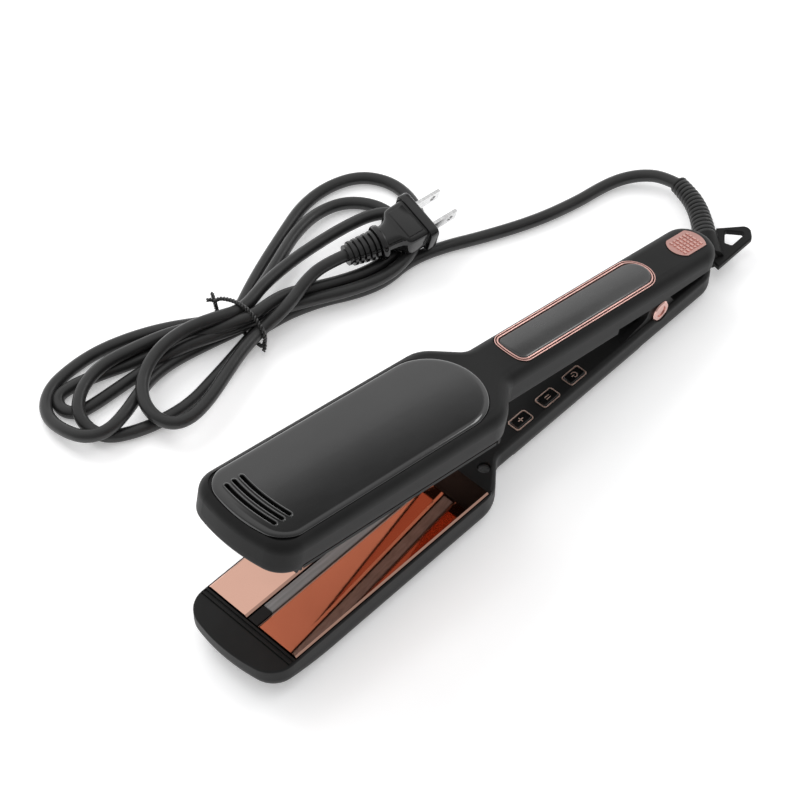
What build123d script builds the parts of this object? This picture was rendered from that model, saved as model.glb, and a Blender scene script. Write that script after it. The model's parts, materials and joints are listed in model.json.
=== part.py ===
"""Flat iron: two hinged arms with floating plates, a swivel lead, a tied hank and a two-pin plug.

Millimetres. +X runs to the tips, +Y to the button side, +Z up. The lower arm lies on its back
on Z = 0, and the origin is on that plane under the middle of the iron.

Both arms are drawn in "arm space": the plane where the arms meet is Z = 0 and the arm hangs
below it with its back downward. put_lower and put_upper carry a piece to its place.
"""
from build123d import *
import math
import os

os.makedirs("parts", exist_ok=True)

# ---- Driving dimensions of the iron -------------------------------------------------------
TIP_X = 164.5            # front end of both arms
REAR_X = -133.5          # rear end of both arms
HEAD_HALF = 26.0         # half width of the wide head that carries the plates
GRIP_HALF = 12.7         # half width of the grip
CLOSE_Z = 18.6           # height of the plane where the closed arms meet
HINGE_X = -91.0
OPEN_ANGLE = 12.7        # the arms rest this far apart, in degrees

# ---- Arm shell, in arm space --------------------------------------------------------------
FACE_Z = -2.4            # inner face of an arm
SEAM_Z = -6.5            # seam between the outer shell and the inner covers
BACK_Z = -18.0           # outer back of the shell
FLOOR_Z = -15.4          # bottom of the hollow inside the shell
CHIN_FLOOR_Z = -9.5      # bottom of the hollow where the lower arm's back curves up
WALL = 3.0
FRONT_BOW_R = 75.0       # the front end is an arc of this radius
FRONT_CORNER_R = 12.0
CHIN_START_X = 128.0     # the lower arm's back curves up from here to its tip
CHIN_R = 110.0
NECK_FRONT_X = 33.0      # the head starts to narrow here
NECK_REAR_X = 17.5       # and has become the grip here
NECK_OUTER_R = 18.0
NECK_INNER_R = 8.0
LOWER_BACK_ROUND = 8.0
UPPER_BACK_ROUND = 5.5
FACE_ROUND = 2.2
RIM_Z = -1.2             # top of the lower head's rim round the plates
RIM_ROUND = 0.8
CLEAR = 0.35             # gap beside anything that moves
BEYOND = 40.0            # well outside an arm, for blocks that cut right across it
WINDOW_FRONT_X = 143.0   # opening through the head's cover for the heaters
WINDOW_REAR_X = 42.0
WINDOW_HALF = 21.5

# ---- Heating plates -----------------------------------------------------------------------
PLATE_FRONT_X = 148.2
PLATE_REAR_X = 36.0
PLATE_OUT_Y = 24.9
PLATE_IN_Y = 3.2
PLATE_TOP_Z = -0.15
PLATE_LOW_Z = -2.4
SEAT_Z = -3.6            # the head is cut down to here under the plates
UPPER_RIM_Z = -4.8       # and the upper head's rim is this low beside them
SEAT_HALF = 25.2
SEAT_REAR_X = 33.6
SEAT_FRONT_X = 152.6
PLATE_TRAVEL = 0.8
HEATER_LOW_Z = -5.6

# ---- Back panel, grip pad, trim and badge --------------------------------------------------
PANEL_HALF = 22.3
PANEL_FRONT_X = 161.8
PANEL_REAR_X = 27.8
LOWER_PANEL_HALF = 16.5
LOWER_PANEL_FRONT_X = 126.0
LOWER_PANEL_REAR_X = 34.0
PANEL_EDGE_ROUND = 0.9
PANEL_Z = -18.15         # the panel's edge
CROWN_Z = -18.6          # its middle, and the plane the lower arm rests on
UPPER_CROWN_Z = -19.3    # the upper arm's panel is more domed
CROWN_FLAT = 0.04        # the crown is flattened by this much
RECESS_Z = -16.8         # bottom of the recess for a panel
TRIM_RECESS_Z = -16.4    # bottom of the recess for the trim ring, pad and badge
SEAT_GAP = 0.2           # dark gap round a panel
TRIM_GAP = 0.15          # and round the trim ring and badge
VENT_XS = (148.0, 152.0, 156.0)
VENT_HALF = 12.8
VENT_WIDE = 2.2
VENT_BOW_R = 60.0
TRIM_HALF = 9.6
TRIM_FRONT_X = 6.7
TRIM_REAR_X = -89.8
TRIM_WIDE = 1.9
TRIM_TOP_Z = -18.3
BADGE_FRONT_X = -107.5
BADGE_REAR_X = -127.5
BADGE_HALF = 6.4

# ---- Buttons -------------------------------------------------------------------------------
BUTTON_XS = (-38.1, -20.8, -3.5)
BUTTON_Y = 7.4
BUTTON_LONG = 9.0
BUTTON_WIDE = 4.9
BUTTON_TOP_Z = -1.8
BUTTON_TRAVEL = 0.6
BOARD_Z = -8.6

# ---- Hinge ---------------------------------------------------------------------------------
PIN_R = 2.0
CHEEK_IN_Y = 7.6
CHEEK_OUT_Y = 10.6
LUG_IN_Y = 3.2
LUG_OUT_Y = 7.2
TOWER_R = 8.0
BARREL_R = 6.0
CAP_R = 5.0
CAP_OUT_Y = 12.2

# ---- Swivel tail ---------------------------------------------------------------------------
SWIVEL_Z = 9.5           # height of the swivel's axis, which runs along X
NECK_R = 4.0
FIT = 0.05               # running fit of the pin and the swivel neck
BUSH_R = 5.6
NECK_END_X = -115.5      # the neck's flange ends here, inside the shell
ELBOW = (-139.2, 0.9, SWIVEL_Z)
COLLAR_START = (-138.0, 3.5, SWIVEL_Z)
COLLAR_END = (-146.0, -6.3, SWIVEL_Z)
COLLAR_R = 5.8
LOOP_LOW_Z = 8.0
LOOP_HIGH_Z = 11.0

# ---- Lead, hank and plug -------------------------------------------------------------------
CORD_D = 5.9
CORD_R = CORD_D / 2
LIE_Z = CORD_R + 0.05    # height of the cord's middle where it lies on the floor
RELIEF_PATH = [COLLAR_END, (-152.3, -13.3, 9.4), (-158.3, -20.8, 9.2), (-162.9, -29.2, 8.8),
               (-165.6, -38.0, 8.2)]
RELIEF_ROOT_R = 5.6
RELIEF_END_R = 4.3
RIB_COUNT = 17
LEAD_START = (-165.6, -38.8, 8.13)   # a little past the relief's end, which swings with the swivel
LEAD_ROUTE = [LEAD_START, (-165.4, -47.6, 7.2), (-160.8, -56.4, 5.6), (-152.8, -63.0, 4.0),
              (-142.2, -66.4, 3.2), (-129.0, -68.2, LIE_Z), (-107.0, -73.8, LIE_Z),
              (-84.0, -83.6, LIE_Z), (-62.0, -95.0, LIE_Z), (-46.0, -99.5, LIE_Z)]
TIE_X = 33.0
TIE_Y = -124.5
LOBE_HIGH = 10.5         # two layers of cord
WAIST_HIGH = 17.4        # the bundle is higher where the tie gathers it
FLANGE_THICK = 4.8
FLANGE_WIDE = 26.0
FLANGE_HIGH = 15.0
SHOULDER_X = -12.8       # the body is square-shouldered back to here, then narrows
SHOULDER_WIDE = 20.6
SHOULDER_HIGH = 13.0
BLADE_PITCH = 12.7
BLADE_LONG = 16.0
BOOT_START_X = -24.5
BOOT_END = (-41.0, 3.4, -0.6)
PLUG_FACE = (-59.2, -103.8, 18.2)
PLUG_YAW = 173.0         # the blades point to -X
PLUG_ROLL = 14.6         # the plug leans with its lead side lower


# ---- Helpers -------------------------------------------------------------------------------
def put_lower(shape):
    """Arm space to the lower arm, which lies on its back."""
    return Pos(0, 0, CLOSE_Z) * shape


def put_upper(shape):
    """Arm space to the upper arm, turned over and opened about the hinge."""
    turned = Pos(-HINGE_X, 0, 0) * Rot(180, 0, 0) * shape
    return Pos(HINGE_X, 0, CLOSE_Z) * Rot(0, -OPEN_ANGLE, 0) * turned


def block(x0, x1, y0, y1, z0, z1):
    """A box between two corners."""
    middle = Pos((x0 + x1) / 2, (y0 + y1) / 2, (z0 + z1) / 2)
    return middle * Box(abs(x1 - x0), abs(y1 - y0), abs(z1 - z0))


def prism(face, z0, z1):
    """A plan face made solid between two heights."""
    return extrude(Pos(0, 0, z0) * face, z1 - z0, dir=(0, 0, 1))


def post(x, y, z0, z1, radius):
    """An upright cylinder."""
    return Pos(x, y, (z0 + z1) / 2) * Cylinder(radius, z1 - z0)


def rod_y(x, z, y0, y1, radius):
    """A cylinder along Y."""
    return Pos(x, (y0 + y1) / 2, z) * Rot(90, 0, 0) * Cylinder(radius, y1 - y0)


def rod_x(y, z, x0, x1, radius):
    """A cylinder along X."""
    return Pos((x0 + x1) / 2, y, z) * Rot(0, 90, 0) * Cylinder(radius, x1 - x0)


def both_sides(shape):
    """A piece and its mirror image across the iron's middle plane."""
    return shape + mirror(shape, Plane.XZ)


def save(shape, name):
    """Write one node."""
    export_step(shape, f"parts/{name}.step")


# ---- Plans ---------------------------------------------------------------------------------
def arm_plan(inset=0.0):
    """Plan of an arm: bowed front, wide head, sloping neck, narrow grip, round rear."""
    bow = FRONT_BOW_R - math.sqrt(FRONT_BOW_R ** 2 - HEAD_HALF ** 2)
    corner = (TIP_X - bow, HEAD_HALF)
    neck_out = (NECK_FRONT_X, HEAD_HALF)
    neck_in = (NECK_REAR_X, GRIP_HALF)
    rear = (REAR_X + GRIP_HALF, GRIP_HALF)
    near = [corner, neck_out, neck_in, rear]
    far = [(x, -y) for x, y in reversed(near)]
    edges = [ThreePointArc(far[-1], (TIP_X, 0), near[0]), Polyline(*near),
             ThreePointArc(near[-1], (REAR_X, 0), far[0]), Polyline(*far)]
    face = Face(Wire([edge for line in edges for edge in line.edges()]))
    for (x, y), radius in ((corner, FRONT_CORNER_R), (neck_out, NECK_OUTER_R),
                           (neck_in, NECK_INNER_R)):
        picked = [v for v in face.vertices() if abs(v.X - x) < 0.01 and abs(abs(v.Y) - y) < 0.01]
        face = face.fillet_2d(radius, picked)
    return offset(face, -inset) if inset else face


def long_plan(front_x, rear_x, half, front_bow, corner_r):
    """A long plan with a bowed front, rounded front corners and a half-round rear."""
    edges = [ThreePointArc((front_x - front_bow, -half), (front_x, 0), (front_x - front_bow, half)),
             Line((front_x - front_bow, half), (rear_x + half, half)),
             ThreePointArc((rear_x + half, half), (rear_x, 0), (rear_x + half, -half)),
             Line((rear_x + half, -half), (front_x - front_bow, -half))]
    face = Face(Wire([edge for line in edges for edge in line.edges()]))
    corners = [v for v in face.vertices() if abs(v.X - front_x + front_bow) < 0.01]
    return face.fillet_2d(corner_r, corners)


def upper_panel_plan(grow=0.0):
    """Plan of the glossy panel in the upper head's back."""
    return long_plan(PANEL_FRONT_X + grow, PANEL_REAR_X - grow, PANEL_HALF + grow, 4.5, 9.0)


def lower_panel_plan(grow=0.0):
    """Plan of the smaller panel in the lower head's back, which the iron rests on."""
    return long_plan(LOWER_PANEL_FRONT_X + grow, LOWER_PANEL_REAR_X - grow,
                     LOWER_PANEL_HALF + grow, 3.5, 7.0)


def trim_plan(shrink=0.0):
    """Plan of the trim ring's outer edge, or of a line inside it."""
    return long_plan(TRIM_FRONT_X - shrink, TRIM_REAR_X + shrink, TRIM_HALF - shrink, 1.6, 4.6)


def badge_plan(grow=0.0):
    """Plan of the badge: bowed front, straight sides, bowed rear."""
    front, rear, half = BADGE_FRONT_X + grow, BADGE_REAR_X - grow, BADGE_HALF + grow
    edges = [ThreePointArc((front - 4, -half), (front, 0), (front - 4, half)),
             Line((front - 4, half), (rear + 3, half)),
             ThreePointArc((rear + 3, half), (rear, 0), (rear + 3, -half)),
             Line((rear + 3, -half), (front - 4, -half))]
    return Face(Wire([edge for line in edges for edge in line.edges()]))


# ---- Arm shells and covers -----------------------------------------------------------------
def upper_block():
    """The whole upper arm as one rounded body, before it is split into its mouldings."""
    body = prism(arm_plan(), BACK_Z, FACE_Z)
    body = fillet(body.edges().group_by(Axis.Z)[0], UPPER_BACK_ROUND)
    return fillet(body.edges().group_by(Axis.Z)[-1], FACE_ROUND)


def chin_rise(x):
    """How far the lower arm's back has curved up at x."""
    return CHIN_R - math.sqrt(CHIN_R ** 2 - (x - CHIN_START_X) ** 2)


def is_rim(edge):
    """Whether an edge of the arm's back is on its outline, not a seam across it."""
    middle = edge.center()
    at_end = middle.X > TIP_X - 1 or middle.X < REAR_X + 1
    across = edge.bounding_box().size.X < 0.01
    return (abs(middle.Y) > 1 or at_end) and not across


def lower_block(face_z, face_round):
    """The whole lower arm as one rounded body, whose back curves up to the tip."""
    past_tip = TIP_X + 1
    half_way = (CHIN_START_X + past_tip) / 2
    low_end = (past_tip, BACK_Z + chin_rise(past_tip))
    side = [Polyline(low_end, (past_tip, 5), (REAR_X - 1, 5), (REAR_X - 1, BACK_Z),
                     (CHIN_START_X, BACK_Z)),
            ThreePointArc((CHIN_START_X, BACK_Z), (half_way, BACK_Z + chin_rise(half_way)), low_end)]
    profile = Face(Wire([edge for line in side for edge in line.edges()]))
    body = prism(arm_plan(), BACK_Z - 1, face_z)
    body &= extrude(Plane.XZ.offset(-BEYOND) * profile, 2 * BEYOND, dir=(0, -1, 0))
    back = [face for face in body.faces() if face.normal_at(face.center()).Z < -0.7]
    body = fillet([edge for face in back for edge in face.edges() if is_rim(edge)],
                  LOWER_BACK_ROUND)
    return fillet(body.edges().group_by(Axis.Z)[-1], face_round)


def crowned(plan, low_z, crown_z=CROWN_Z):
    """A plate on an arm's back, crowned across the width with a narrow flat at crown_z."""
    drop = PANEL_Z - crown_z + CROWN_FLAT
    crown_r = (PANEL_HALF ** 2 + drop ** 2) / (2 * drop)
    tool = rod_x(0, crown_z - CROWN_FLAT + crown_r, REAR_X, TIP_X, crown_r)
    return prism(plan, crown_z, low_z) & tool


def across(x0, x1, z0, z1):
    """A block right across an arm between two stations and two heights."""
    return block(x0, x1, -BEYOND, BEYOND, z0, z1)


def arm_shell(arm, hollow_front_x, panel_seat):
    """Outer shell: the back and side walls, with recesses for what is set in the back."""
    shell = arm & across(REAR_X - 5, TIP_X + 5, BACK_Z - 5, SEAM_Z)
    shell -= prism(arm_plan(WALL), FLOOR_Z, 0) & across(REAR_X, hollow_front_x, FLOOR_Z, 0)
    shell -= prism(arm_plan(WALL), CHIN_FLOOR_Z, 0)
    shell -= prism(panel_seat, BACK_Z - 5, RECESS_Z)
    return shell - prism(trim_plan(-TRIM_GAP), BACK_Z - 5, TRIM_RECESS_Z)


def plate_frame(arm, rim_half):
    """Inner cover of the head, which frames the plates and closes the tip."""
    frame = arm & across(SEAT_REAR_X, TIP_X + 5, SEAM_Z, 5)
    frame -= block(SEAT_REAR_X, SEAT_FRONT_X, -rim_half, rim_half, SEAT_Z, 5)
    return frame - block(WINDOW_REAR_X, WINDOW_FRONT_X, -WINDOW_HALF, WINDOW_HALF, SEAM_Z - 1, SEAT_Z)


def screw_places():
    """The two deck screws beside the neck."""
    return [(26.0, side * 13.2) for side in (-1, 1)]


def deck(arm, rear_x):
    """Inner cover of the neck and grip, hollow underneath, with its two screw holes."""
    roof_z = SEAM_Z + 2.1
    cover = arm & across(rear_x, SEAT_REAR_X, SEAM_Z, 5)
    cover -= prism(arm_plan(WALL), SEAM_Z, roof_z) & across(REAR_X, 12, SEAM_Z, roof_z)
    for x, y in screw_places():
        cover -= post(x, y, -4.6, 0, 3.0) + post(x, y, SEAM_Z - 1, 0, 1.3)
    return cover


def deck_screws():
    """Pan-head screws down the deck's holes."""
    screws = [post(x, y, -4.55, -3.5, 2.6) + post(x, y, -12, -4.5, 1.25) for x, y in screw_places()]
    return Compound([screw.solid() for screw in screws])


# ---- Hinge ---------------------------------------------------------------------------------
def tower_profile():
    """Side view of a hinge cheek: the deck sweeps up in an S to a round top."""
    left, right = HINGE_X - TOWER_R, HINGE_X + TOWER_R
    top = HINGE_X, TOWER_R
    lines = [Spline((HINGE_X + 27, -2.6), (HINGE_X + 16, -0.6), (right, 2.0),
                    tangents=[(-1, 0), (-0.6, 1)]),
             ThreePointArc((right, 2.0), top, (left, 2.0)),
             Polyline((left, 2.0), (left - 3, -2.6), (left - 3, SEAM_Z), (HINGE_X + 27, SEAM_Z),
                      (HINGE_X + 27, -2.6))]
    return Face(Wire([edge for line in lines for edge in line.edges()]))


def cheek():
    """One cheek of the lower arm's hinge tower, on the +Y side."""
    upright = Plane.XZ.offset(-CHEEK_OUT_Y) * tower_profile()
    return extrude(upright, CHEEK_OUT_Y - CHEEK_IN_Y, dir=(0, -1, 0))


def lower_deck(arm):
    """The lower arm's grip cover with button holes, hinge tower and swivel mouth."""
    cover = deck(arm, REAR_X - 5)
    for x in BUTTON_XS:
        cover -= block(x - 4.9, x + 4.9, BUTTON_Y - 2.85, BUTTON_Y + 2.85, SEAM_Z, 0)
        cover -= block(x - 5.35, x + 5.35, BUTTON_Y - 3.3, BUTTON_Y + 3.3, -2.75, 0)
    cover -= block(HINGE_X - 9, HINGE_X + 12, -LUG_OUT_Y - CLEAR, LUG_OUT_Y + CLEAR, -10, 5)
    cover += both_sides(cheek())
    cover -= rod_y(HINGE_X, 0, -20, 20, PIN_R)
    cover -= both_sides(rod_y(HINGE_X, 0, CHEEK_OUT_Y, 20, CAP_R + 0.15))
    return cover - rod_x(0, SWIVEL_Z - CLOSE_Z, REAR_X - 5, NECK_END_X + CLEAR, BUSH_R)


def upper_rear_cut():
    """What the upper shell loses so that it clears the hinge tower and the lower arm's rear."""
    slope = Polyline((-58, SEAM_Z - 0.1), (-80, SEAM_Z - 0.1), (-140, -9.6), (-140, 5), (-58, 5),
                     close=True)
    wedge = extrude(Plane.XZ.offset(-40) * make_face(slope), 80, dir=(0, -1, 0))
    return wedge + block(HINGE_X - 13, -58, -11, 11, -11.5, 0)


def hinge_lug():
    """The upper arm's two hinge plates with their barrel, hung from the shell's roof."""
    web = block(HINGE_X - BARREL_R, HINGE_X + 14, LUG_IN_Y, LUG_OUT_Y, FLOOR_Z, 0)
    web -= block(HINGE_X + BARREL_R, HINGE_X + 20, 0, 20, -9, 5)
    plate = web + rod_y(HINGE_X, 0, LUG_IN_Y, LUG_OUT_Y, BARREL_R)
    lug = both_sides(plate) + block(HINGE_X - BARREL_R, HINGE_X + 14, -LUG_OUT_Y, LUG_OUT_Y, FLOOR_Z, -12.5)
    return lug - rod_y(HINGE_X, 0, -20, 20, PIN_R + FIT)


def hinge_pin():
    """The steel pin through cheeks and lug."""
    return rod_y(HINGE_X, 0, -CHEEK_OUT_Y, CHEEK_OUT_Y, PIN_R)


def hinge_caps():
    """The dished pivot caps on the outside of the tower."""
    cap = rod_y(HINGE_X, 0, CHEEK_OUT_Y, CAP_OUT_Y, CAP_R)
    cap = chamfer(cap.edges().group_by(Axis.Y)[-1], 0.5)
    cap -= rod_y(HINGE_X, 0, CAP_OUT_Y - 0.5, CAP_OUT_Y, 2.9)
    return Compound([cap.solid(), mirror(cap, Plane.XZ).solid()])


def hinge_spring():
    """The torsion spring round the pin that holds the arms apart, as a closely wound sleeve."""
    coil = rod_y(HINGE_X, 0, -2.6, 2.6, 4.0) - rod_y(HINGE_X, 0, -3, 3, 2.9)
    for step in range(4):
        y = -1.95 + 1.3 * step
        coil -= rod_y(HINGE_X, 0, y - 0.12, y + 0.12, 6) - rod_y(HINGE_X, 0, -3, 3, 3.6)
    return coil + block(HINGE_X + 3.0, HINGE_X + 11, -2.6, -1.6, -3.9, -2.9)


# ---- Plates and what is under them ---------------------------------------------------------
def plate(side):
    """One heating plate: bevelled outside edge, eased inside edge."""
    outline = Polyline((side * PLATE_IN_Y, PLATE_LOW_Z), (side * PLATE_IN_Y, PLATE_TOP_Z - 0.7),
                       (side * (PLATE_IN_Y + 1.0), PLATE_TOP_Z),
                       (side * (PLATE_OUT_Y - 0.8), PLATE_TOP_Z),
                       (side * PLATE_OUT_Y, PLATE_TOP_Z - 0.6), (side * PLATE_OUT_Y, PLATE_LOW_Z),
                       close=True)
    section = Plane.YZ.offset(PLATE_REAR_X) * make_face(outline)
    return extrude(section, PLATE_FRONT_X - PLATE_REAR_X, dir=(1, 0, 0))


def heater(side):
    """The flat ceramic heater clamped under a plate, with its terminal block."""
    body = block(48, 138, side * 7.7, side * 20.7, HEATER_LOW_Z, PLATE_LOW_Z)
    return body - block(60, 126, side * 10.5, side * 17.9, HEATER_LOW_Z, HEATER_LOW_Z + 0.6)


def plate_springs():
    """Four coil springs that push each pair of plates outward, drawn as sleeves."""
    high = HEATER_LOW_Z - PLATE_TRAVEL - 0.3
    sleeves = [post(x, y, FLOOR_Z, high, 2.6) - post(x, y, FLOOR_Z, high, 1.8)
               for x in (56, 122) for y in (-14.2, 14.2)]
    return Compound([sleeve.solid() for sleeve in sleeves])


def centre_strip():
    """The matt strip down the channel between the plates."""
    return chamfer(block(36.5, 139.2, -2.5, 2.5, SEAT_Z, -0.9).edges().group_by(Axis.Z)[-1], 0.3)


def strip_block():
    """The small end block ahead of the strip."""
    return block(139.7, 148.0, -2.5, 2.5, SEAT_Z, -1.1)


def strip_bridge():
    """The rail under the strip that carries it across the heater window."""
    return block(42, 143, -2.2, 2.2, SEAM_Z, SEAT_Z)


def front_bar():
    """The cross bar along the front of the plates, with two ridges."""
    bar = block(148.7, 152.4, -25.1, 25.1, SEAT_Z, -1.6)
    for x in (149.3, 151.5):
        bar += block(x - 0.5, x + 0.5, -25.1, 25.1, -1.7, -0.9)
    return bar


def rear_bar():
    """The thin bar behind the plates."""
    return block(33.9, 35.5, -25.0, 25.0, SEAT_Z, -1.0)


def thermal_fuse():
    """The fuse that lies across the shell's hollow between the heaters."""
    return rod_x(0, -12, 60, 74, 1.6) + rod_x(0, -12, 54, 80, 0.5)


# ---- Buttons -------------------------------------------------------------------------------
def button(x):
    """One push button: a rounded key with a skirt and a stem."""
    key = block(x - BUTTON_LONG / 2, x + BUTTON_LONG / 2, BUTTON_Y - BUTTON_WIDE / 2,
                BUTTON_Y + BUTTON_WIDE / 2, -4.6, BUTTON_TOP_Z)
    key = fillet(key.edges().filter_by(Axis.Z), 0.9)
    key = chamfer(key.edges().group_by(Axis.Z)[-1], 0.3)
    return key + post(x, BUTTON_Y, BOARD_Z + 1.5 + BUTTON_TRAVEL + 0.3, -4.5, 1.2)


def button_bezels():
    """The bright frames round the three buttons."""
    frames = []
    for x in BUTTON_XS:
        outer = block(x - 5.3, x + 5.3, BUTTON_Y - 3.25, BUTTON_Y + 3.25, -2.75, -2.1)
        inner = block(x - 4.85, x + 4.85, BUTTON_Y - 2.8, BUTTON_Y + 2.8, -3, -2)
        frames.append((fillet(outer.edges().filter_by(Axis.Z), 1.3)
                       - fillet(inner.edges().filter_by(Axis.Z), 1.1)).solid())
    return Compound(frames)


def circuit_board():
    """The control board under the buttons."""
    return block(-52, 10, -9.4, 9.4, BOARD_Z - 1.5, BOARD_Z)


def board_parts():
    """Three tact switches, a relay and a capacitor on the board."""
    switches = [block(x - 2, x + 2, BUTTON_Y - 2, BUTTON_Y + 2, BOARD_Z, BOARD_Z + 1.5)
                for x in BUTTON_XS]
    relay = block(-50, -38, -8, 0, BOARD_Z, BOARD_Z + 3.6)
    capacitor = post(-12, -4.5, BOARD_Z, BOARD_Z + 3.8, 2.6)
    return Compound([shape.solid() for shape in [*switches, relay, capacitor]])


def board_posts():
    """Four posts that carry the board above the shell's floor."""
    posts = [post(x, y, FLOOR_Z, BOARD_Z - 1.5, 1.6) for x in (-48, 6) for y in (-6.5, 6.5)]
    return Compound([shape.solid() for shape in posts])


# ---- Trim on an arm's back -----------------------------------------------------------------
def back_panel(plan, crown_z):
    """A glossy crowned panel with a rounded edge."""
    panel = crowned(plan, RECESS_Z, crown_z)
    walls = [face for face in panel.faces() if abs(face.normal_at(face.center()).Z) < 0.1]
    edges = [edge for face in walls for edge in face.edges()
             if edge.bounding_box().max.Z < PANEL_Z + 0.1]
    return fillet(edges, PANEL_EDGE_ROUND)


def vented_panel():
    """The upper arm's panel, with three bowed vent slots near the tip."""
    panel = back_panel(upper_panel_plan(), UPPER_CROWN_Z)
    for x in VENT_XS:
        panel -= vent_slot(x)
    return panel


def vent_slot(x):
    """A slot across the panel, bowed toward the tip, through to the recess floor."""
    end_x = x - VENT_HALF ** 2 / (2 * VENT_BOW_R)
    middle = ThreePointArc((end_x, -VENT_HALF), (x, 0), (end_x, VENT_HALF))
    return prism(trace(middle, VENT_WIDE).face(), UPPER_CROWN_Z - 1, RECESS_Z + 0.5)


def grip_pad():
    """The satin pad inside the trim ring."""
    return crowned(trim_plan(2.0), TRIM_RECESS_Z)


def trim_ring():
    """The rose-coloured ring round the grip pad: two beads with a groove between them."""
    ring = prism(trim_plan(), TRIM_TOP_Z, TRIM_RECESS_Z) - prism(trim_plan(TRIM_WIDE), -20, 0)
    groove = prism(trim_plan(0.7), TRIM_TOP_Z - 1, TRIM_TOP_Z + 0.5)
    return ring - (groove - prism(trim_plan(1.3), -20, 0))


def badge():
    """The small plate at the grip's rear end."""
    return prism(badge_plan(), -18.35, TRIM_RECESS_Z)


# ---- Swivel tail ---------------------------------------------------------------------------
def swivel_bush():
    """The bearing ring held between shell and deck."""
    axis_z = SWIVEL_Z - CLOSE_Z
    return rod_x(0, axis_z, -131.5, -119, BUSH_R) - rod_x(0, axis_z, -140, -110, NECK_R + FIT)


def between(a, b, r0, r1=None):
    """A cylinder or cone from point a to point b."""
    start, end = Vector(*a), Vector(*b)
    span = end - start
    plane = Plane(origin=(start + end) * 0.5, z_dir=span)
    if r1 is None or abs(r0 - r1) < 1e-6:
        return plane * Cylinder(r0, span.length)
    return plane * Cone(r0, r1, span.length)


def loop_plate():
    """The flat three-cornered hang loop beside the collar."""
    outer = Polyline((-135.6, 9.6), (-160.4, 9.3), (-166.05, 3.6), (-151.8, -8.4), (-146.6, -6.4),
                     (-137.0, 3.0), close=True)
    face = make_face(outer)
    tip = [v for v in face.vertices() if v.X < -158]
    face = face.face().fillet_2d(3.4, tip)
    hole = make_face(Polyline((-150.6, 5.4), (-161.0, 5.2), (-155.2, -2.6), (-149.4, 2.0), close=True))
    hole = hole.face().fillet_2d(1.2, hole.vertices())
    plate_solid = prism(face, LOOP_LOW_Z, LOOP_HIGH_Z) - prism(hole, LOOP_LOW_Z - 1, LOOP_HIGH_Z + 1)
    rim = plate_solid.edges().group_by(Axis.Z)
    return chamfer(rim[-1] + rim[0], 0.6)


def swivel_tail():
    """Neck, elbow, collar and hang loop in one moulding that turns in the bush."""
    neck = rod_x(0, SWIVEL_Z, -139, NECK_END_X, NECK_R)
    neck += rod_x(0, SWIVEL_Z, NECK_END_X - 3, NECK_END_X, BUSH_R - CLEAR)
    elbow = Pos(*ELBOW) * Sphere(COLLAR_R - 0.9)
    collar = between(COLLAR_START, COLLAR_END, COLLAR_R)
    collar &= block(-200, REAR_X - 0.6, -40, 40, -40, 40)
    relief_room = between(COLLAR_END, RELIEF_PATH[2], RELIEF_ROOT_R + 0.3)
    return neck + elbow + collar + (loop_plate() - relief_room)


def along(points, share):
    """The point and direction a given share of the way along a chain of points."""
    vectors = [Vector(*p) for p in points]
    path = Spline(*vectors)
    return path @ share, path % share


def strain_relief():
    """Tapered, ribbed sleeve over the first stretch of the lead."""
    steps = RIB_COUNT * 2
    body = None
    for step in range(steps):
        start, _ = along(RELIEF_PATH, step / steps)
        end, heading = along(RELIEF_PATH, (step + 1) / steps)
        share = step / steps
        radius = RELIEF_ROOT_R + (RELIEF_END_R - RELIEF_ROOT_R) * share
        waist = radius if step % 2 == 0 else radius - 0.75
        piece = between(start, end + heading * 0.02, waist)
        body = piece if body is None else body + piece
    return body


# ---- Lead, hank and plug -------------------------------------------------------------------
def cord_tube(route, name):
    """A round cord along straight runs joined by tangent arcs as large as the runs allow."""
    points = [Vector(*p) for p in route]
    radii = []
    for before, here, after in zip(points, points[1:], points[2:]):
        turn = math.radians((here - before).get_angle(after - here))
        shorter = min((here - before).length, (after - here).length)
        radii.append(0.45 * shorter / math.tan(turn / 2))
    path = FilletPolyline(*points, radius=radii)
    start = Plane(origin=path @ 0, z_dir=path % 0)
    tube = sweep(start * Circle(CORD_R), path=path).solid()
    wanted = path.length * math.pi * CORD_R ** 2
    print(name, "length", round(path.length, 1), "radii", [round(r, 1) for r in radii],
          "volume ratio", round(tube.volume / wanted, 4))
    return tube


def hank():
    """Outer shape of the tied hank: two flat lobes of loops and a higher waist at the tie."""
    near_lobe = Spline((TIE_X, -136.5), (8, -144.5), (-24, -157.5), (-50, -162), (-70, -149),
                       (-76, -128), (-62, -106), (-36, -94.5), (-8, -101.5), (TIE_X, -112))
    far_lobe = Spline((TIE_X, -112), (58, -102.5), (88, -101.5), (112, -113), (131, -133),
                      (128, -154), (108, -163), (78, -157), (52, -150), (TIE_X, -136.5))
    body = prism(Face(Wire(near_lobe.edges() + far_lobe.edges())), 0.1, WAIST_HIGH)
    side = Polyline((-90, 0), (-90, LOBE_HIGH), (TIE_X - 40, LOBE_HIGH), (TIE_X - 12, WAIST_HIGH),
                    (TIE_X + 12, WAIST_HIGH), (TIE_X + 40, LOBE_HIGH), (150, LOBE_HIGH), (150, 0),
                    close=True)
    return body & extrude(Plane.XZ * make_face(side), 200, dir=(0, -1, 0))


def twist_tie():
    """The paper-covered wire round the hank's waist, as a closed band."""
    band = RectangleRounded(18.6, 30.0, 6.0) - RectangleRounded(16.6, 28.0, 5.2)
    return Pos(TIE_X, TIE_Y, 9.4) * Rot(0, 90, 0) * extrude(band, 1.1, both=True)


def put_plug(shape):
    """Plug space, blades along +X from the face at the origin, to the plug's place."""
    return Pos(*PLUG_FACE) * Rot(0, 0, PLUG_YAW) * Rot(PLUG_ROLL, 0, 0) * shape


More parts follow.
